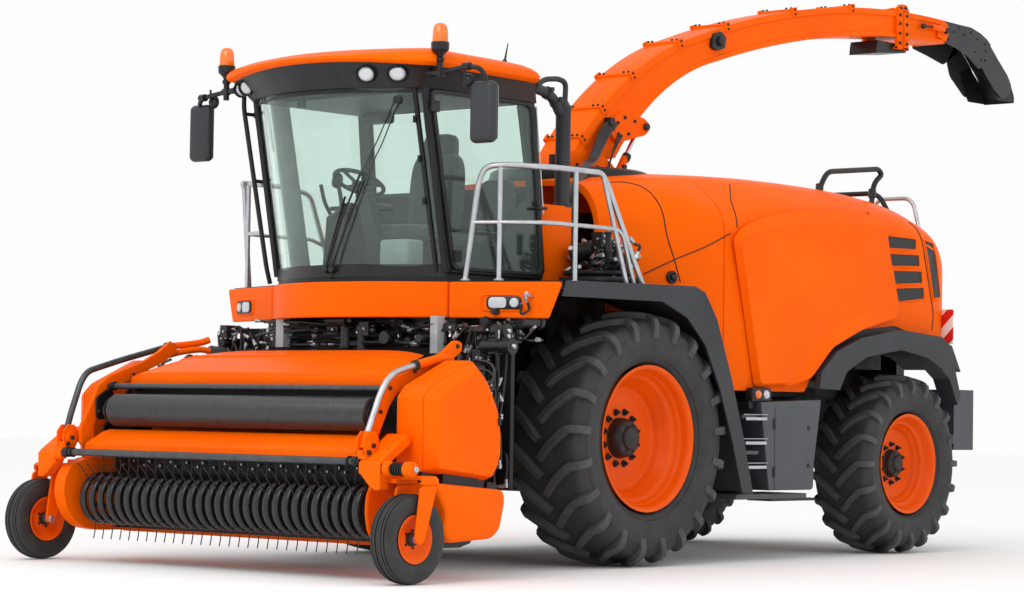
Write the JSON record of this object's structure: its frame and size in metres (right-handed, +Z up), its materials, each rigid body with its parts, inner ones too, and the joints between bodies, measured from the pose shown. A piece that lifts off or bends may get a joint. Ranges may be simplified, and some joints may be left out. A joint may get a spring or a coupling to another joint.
{
  "type": "forage harvester",
  "caption": "Self-propelled forage harvester with a tined pick-up header on gauge wheels, a glazed cab, a turning discharge spout and steered rear wheels.",
  "frame": {"origin": "on the ground under the middle of the machine's bounding box", "axes": "+Z up; +Y towards the machine's rear, along its length; +X towards its left side"},
  "size_m": [3.95, 10.7209, 4.972],
  "materials": {
    "orange_panel": "gloss orange paint",
    "grey_panel": "satin grey paint",
    "black_panel": "satin black paint",
    "frame_paint": "satin black paint",
    "tyre_rubber": "moulded tyre rubber",
    "rim_paint": "gloss orange paint",
    "window_glass": "tinted clear glass",
    "cab_trim": "moulded plastic",
    "castings": "painted casting",
    "rail_paint": "silver grey paint",
    "band_plastic": "smooth moulded plastic",
    "bare_steel": "turned steel"
  },
  "bodies": {
    "chassis": {"frame_rails": "frame_paint", "front_axle": "castings", "rear_axle": "castings", "engine_block": "castings", "crop_channel": "castings", "rear_bumper": "grey_panel", "platform_deck": "black_panel", "front_panels": "orange_panel", "platform_frame": "rail_paint", "handrails": "rail_paint", "front_fenders": "grey_panel", "toolboxes": "grey_panel", "rear_fenders": "grey_panel", "hood_front": "orange_panel", "hood_rear": "orange_panel", "service_boxes": "black_panel", "cab_floor": "black_panel", "cab_roof": "orange_panel", "cab_frame": "black_panel", "cab_glazing": "window_glass", "cab_interior": "cab_trim", "mirrors": "cab_trim"},
    "front_wheel_left": {"front_tyre_left": "tyre_rubber", "front_rim_left": "rim_paint"},
    "front_wheel_right": {"front_tyre_right": "tyre_rubber", "front_rim_right": "rim_paint"},
    "knuckle_left": {"rear_knuckle_left": "castings"},
    "knuckle_right": {"rear_knuckle_right": "castings"},
    "rear_wheel_left": {"rear_tyre_left": "tyre_rubber", "rear_rim_left": "rim_paint"},
    "rear_wheel_right": {"rear_tyre_right": "tyre_rubber", "rear_rim_right": "rim_paint"},
    "cab_door": {"cab_door": "black_panel", "cab_door_glass": "window_glass"},
    "side_flap_left": {"side_flap_left": "orange_panel"},
    "side_flap_right": {"side_flap_right": "orange_panel"},
    "turntable": {"turntable": "orange_panel"},
    "spout": {"spout_sides": "orange_panel", "spout_walls": "orange_panel", "spout_fittings": "orange_panel"},
    "spout_ram_barrel": {"spout_ram_barrel": "black_panel"},
    "spout_ram_rod": {"spout_ram_rod": "bare_steel"},
    "deflector": {"deflector": "grey_panel"},
    "deflector_tip": {"deflector_tip": "grey_panel"},
    "header": {"header_frame": "orange_panel", "feeder": "black_panel", "header_hood": "orange_panel", "front_bar": "orange_panel", "side_shields": "orange_panel", "stripper_bands": "band_plastic"},
    "header_ram_barrels": {"header_ram_barrels": "black_panel"},
    "header_ram_rods": {"header_ram_rods": "bare_steel"},
    "tine_reel": {"tine_reel": "frame_paint"},
    "press": {"press_frame": "orange_panel"},
    "press_roller": {"press_roller": "black_panel"},
    "gauge_wheel_left": {"gauge_wheel_left": "tyre_rubber"},
    "gauge_wheel_right": {"gauge_wheel_right": "tyre_rubber"}
  },
  "joints": [
    {"name": "front_wheel_left_spin", "type": "hinge", "parent": "chassis", "child": "front_wheel_left", "pos_m": [1.16, -2.002, 0.96], "axis": [1, 0, 0], "continuous": true},
    {"name": "front_wheel_right_spin", "type": "hinge", "parent": "chassis", "child": "front_wheel_right", "pos_m": [-1.16, -2.002, 0.96], "axis": [1, 0, 0], "continuous": true},
    {"name": "steer_left", "type": "hinge", "parent": "chassis", "child": "knuckle_left", "pos_m": [0.78, 1.648, 0.76], "axis": [0, 0, 1], "range_deg": [-35, 35]},
    {"name": "steer_right", "type": "hinge", "parent": "chassis", "child": "knuckle_right", "pos_m": [-0.78, 1.648, 0.76], "axis": [0, 0, 1], "range_deg": [-35, 35]},
    {"name": "rear_wheel_left_spin", "type": "hinge", "parent": "knuckle_left", "child": "rear_wheel_left", "pos_m": [1.145, 1.648, 0.758], "axis": [1, 0, 0], "continuous": true},
    {"name": "rear_wheel_right_spin", "type": "hinge", "parent": "knuckle_right", "child": "rear_wheel_right", "pos_m": [-1.145, 1.648, 0.758], "axis": [1, 0, 0], "continuous": true},
    {"name": "cab_door_hinge", "type": "hinge", "parent": "chassis", "child": "cab_door", "pos_m": [0.88, -3.622, 2.14], "axis": [0, 0.1947, -0.9809], "range_deg": [0, 28]},
    {"name": "side_flap_left_hinge", "type": "hinge", "parent": "chassis", "child": "side_flap_left", "pos_m": [1.4, 0.298, 2.862], "axis": [0, -1, 0], "range_deg": [0, 75]},
    {"name": "side_flap_right_hinge", "type": "hinge", "parent": "chassis", "child": "side_flap_right", "pos_m": [-1.4, 0.298, 2.862], "axis": [0, 1, 0], "range_deg": [0, 75]},
    {"name": "spout_turn", "type": "hinge", "parent": "chassis", "child": "turntable", "pos_m": [0, -1.222, 2.75], "axis": [0, 0, 1], "range_deg": [-100, 100]},
    {"name": "spout_lift", "type": "hinge", "parent": "turntable", "child": "spout", "pos_m": [0, -1.452, 3.08], "axis": [1, 0, 0], "range_deg": [-16, 10]},
    {"name": "spout_ram_pivot", "type": "hinge", "parent": "turntable", "child": "spout_ram_barrel", "pos_m": [0.115, -0.882, 2.9], "axis": [1, 0, 0], "range_deg": [-21, 13.1]},
    {"name": "spout_ram_slide", "type": "slide", "parent": "spout_ram_barrel", "child": "spout_ram_rod", "axis": [0, 0.5534, 0.8329], "range_m": [-0.155, 0.097]},
    {"name": "deflector_hinge", "type": "hinge", "parent": "spout", "child": "deflector", "pos_m": [0, 4.098, 4.8], "axis": [1, 0, 0], "range_deg": [-20, 25]},
    {"name": "deflector_tip_hinge", "type": "hinge", "parent": "deflector", "child": "deflector_tip", "pos_m": [0, 4.808, 4.745], "axis": [1, 0, 0], "range_deg": [-20, 25]},
    {"name": "header_lift", "type": "hinge", "parent": "chassis", "child": "header", "pos_m": [0, -2.902, 0.95], "axis": [-1, 0, 0], "range_deg": [0, 12]},
    {"name": "header_ram_pivot", "type": "hinge", "parent": "chassis", "child": "header_ram_barrels", "pos_m": [0, -2.642, 0.64], "axis": [-1, 0, 0], "range_deg": [0, 9.6]},
    {"name": "header_ram_slide", "type": "slide", "parent": "header_ram_barrels", "child": "header_ram_rods", "axis": [0, -0.9947, -0.1029], "range_m": [0, 0.067]},
    {"name": "tine_reel_spin", "type": "hinge", "parent": "header", "child": "tine_reel", "pos_m": [0, -5.022, 0.48], "axis": [1, 0, 0], "continuous": true},
    {"name": "press_lift", "type": "hinge", "parent": "header", "child": "press", "pos_m": [0, -4.172, 1.595], "axis": [-1, 0, 0], "range_deg": [0, 22]},
    {"name": "press_roller_spin", "type": "hinge", "parent": "press", "child": "press_roller", "pos_m": [0, -4.852, 1.11], "axis": [1, 0, 0], "continuous": true},
    {"name": "gauge_wheel_left_spin", "type": "hinge", "parent": "header", "child": "gauge_wheel_left", "pos_m": [1.855, -5.06, 0.3], "axis": [1, 0, 0], "continuous": true},
    {"name": "gauge_wheel_right_spin", "type": "hinge", "parent": "header", "child": "gauge_wheel_right", "pos_m": [-1.855, -5.06, 0.3], "axis": [1, 0, 0], "continuous": true}
  ],
  "couplings": [
    {"joint": "steer_right", "follows": "steer_left", "ratio": 1},
    {"joint": "spout_ram_pivot", "follows": "spout_lift", "ratio": 1.3},
    {"joint": "spout_ram_slide", "follows": "spout_lift", "m_per_rad": 0.55},
    {"joint": "deflector_tip_hinge", "follows": "deflector_hinge", "ratio": 1},
    {"joint": "header_ram_pivot", "follows": "header_lift", "ratio": 0.789},
    {"joint": "header_ram_slide", "follows": "header_lift", "m_per_rad": 0.315}
  ]
}
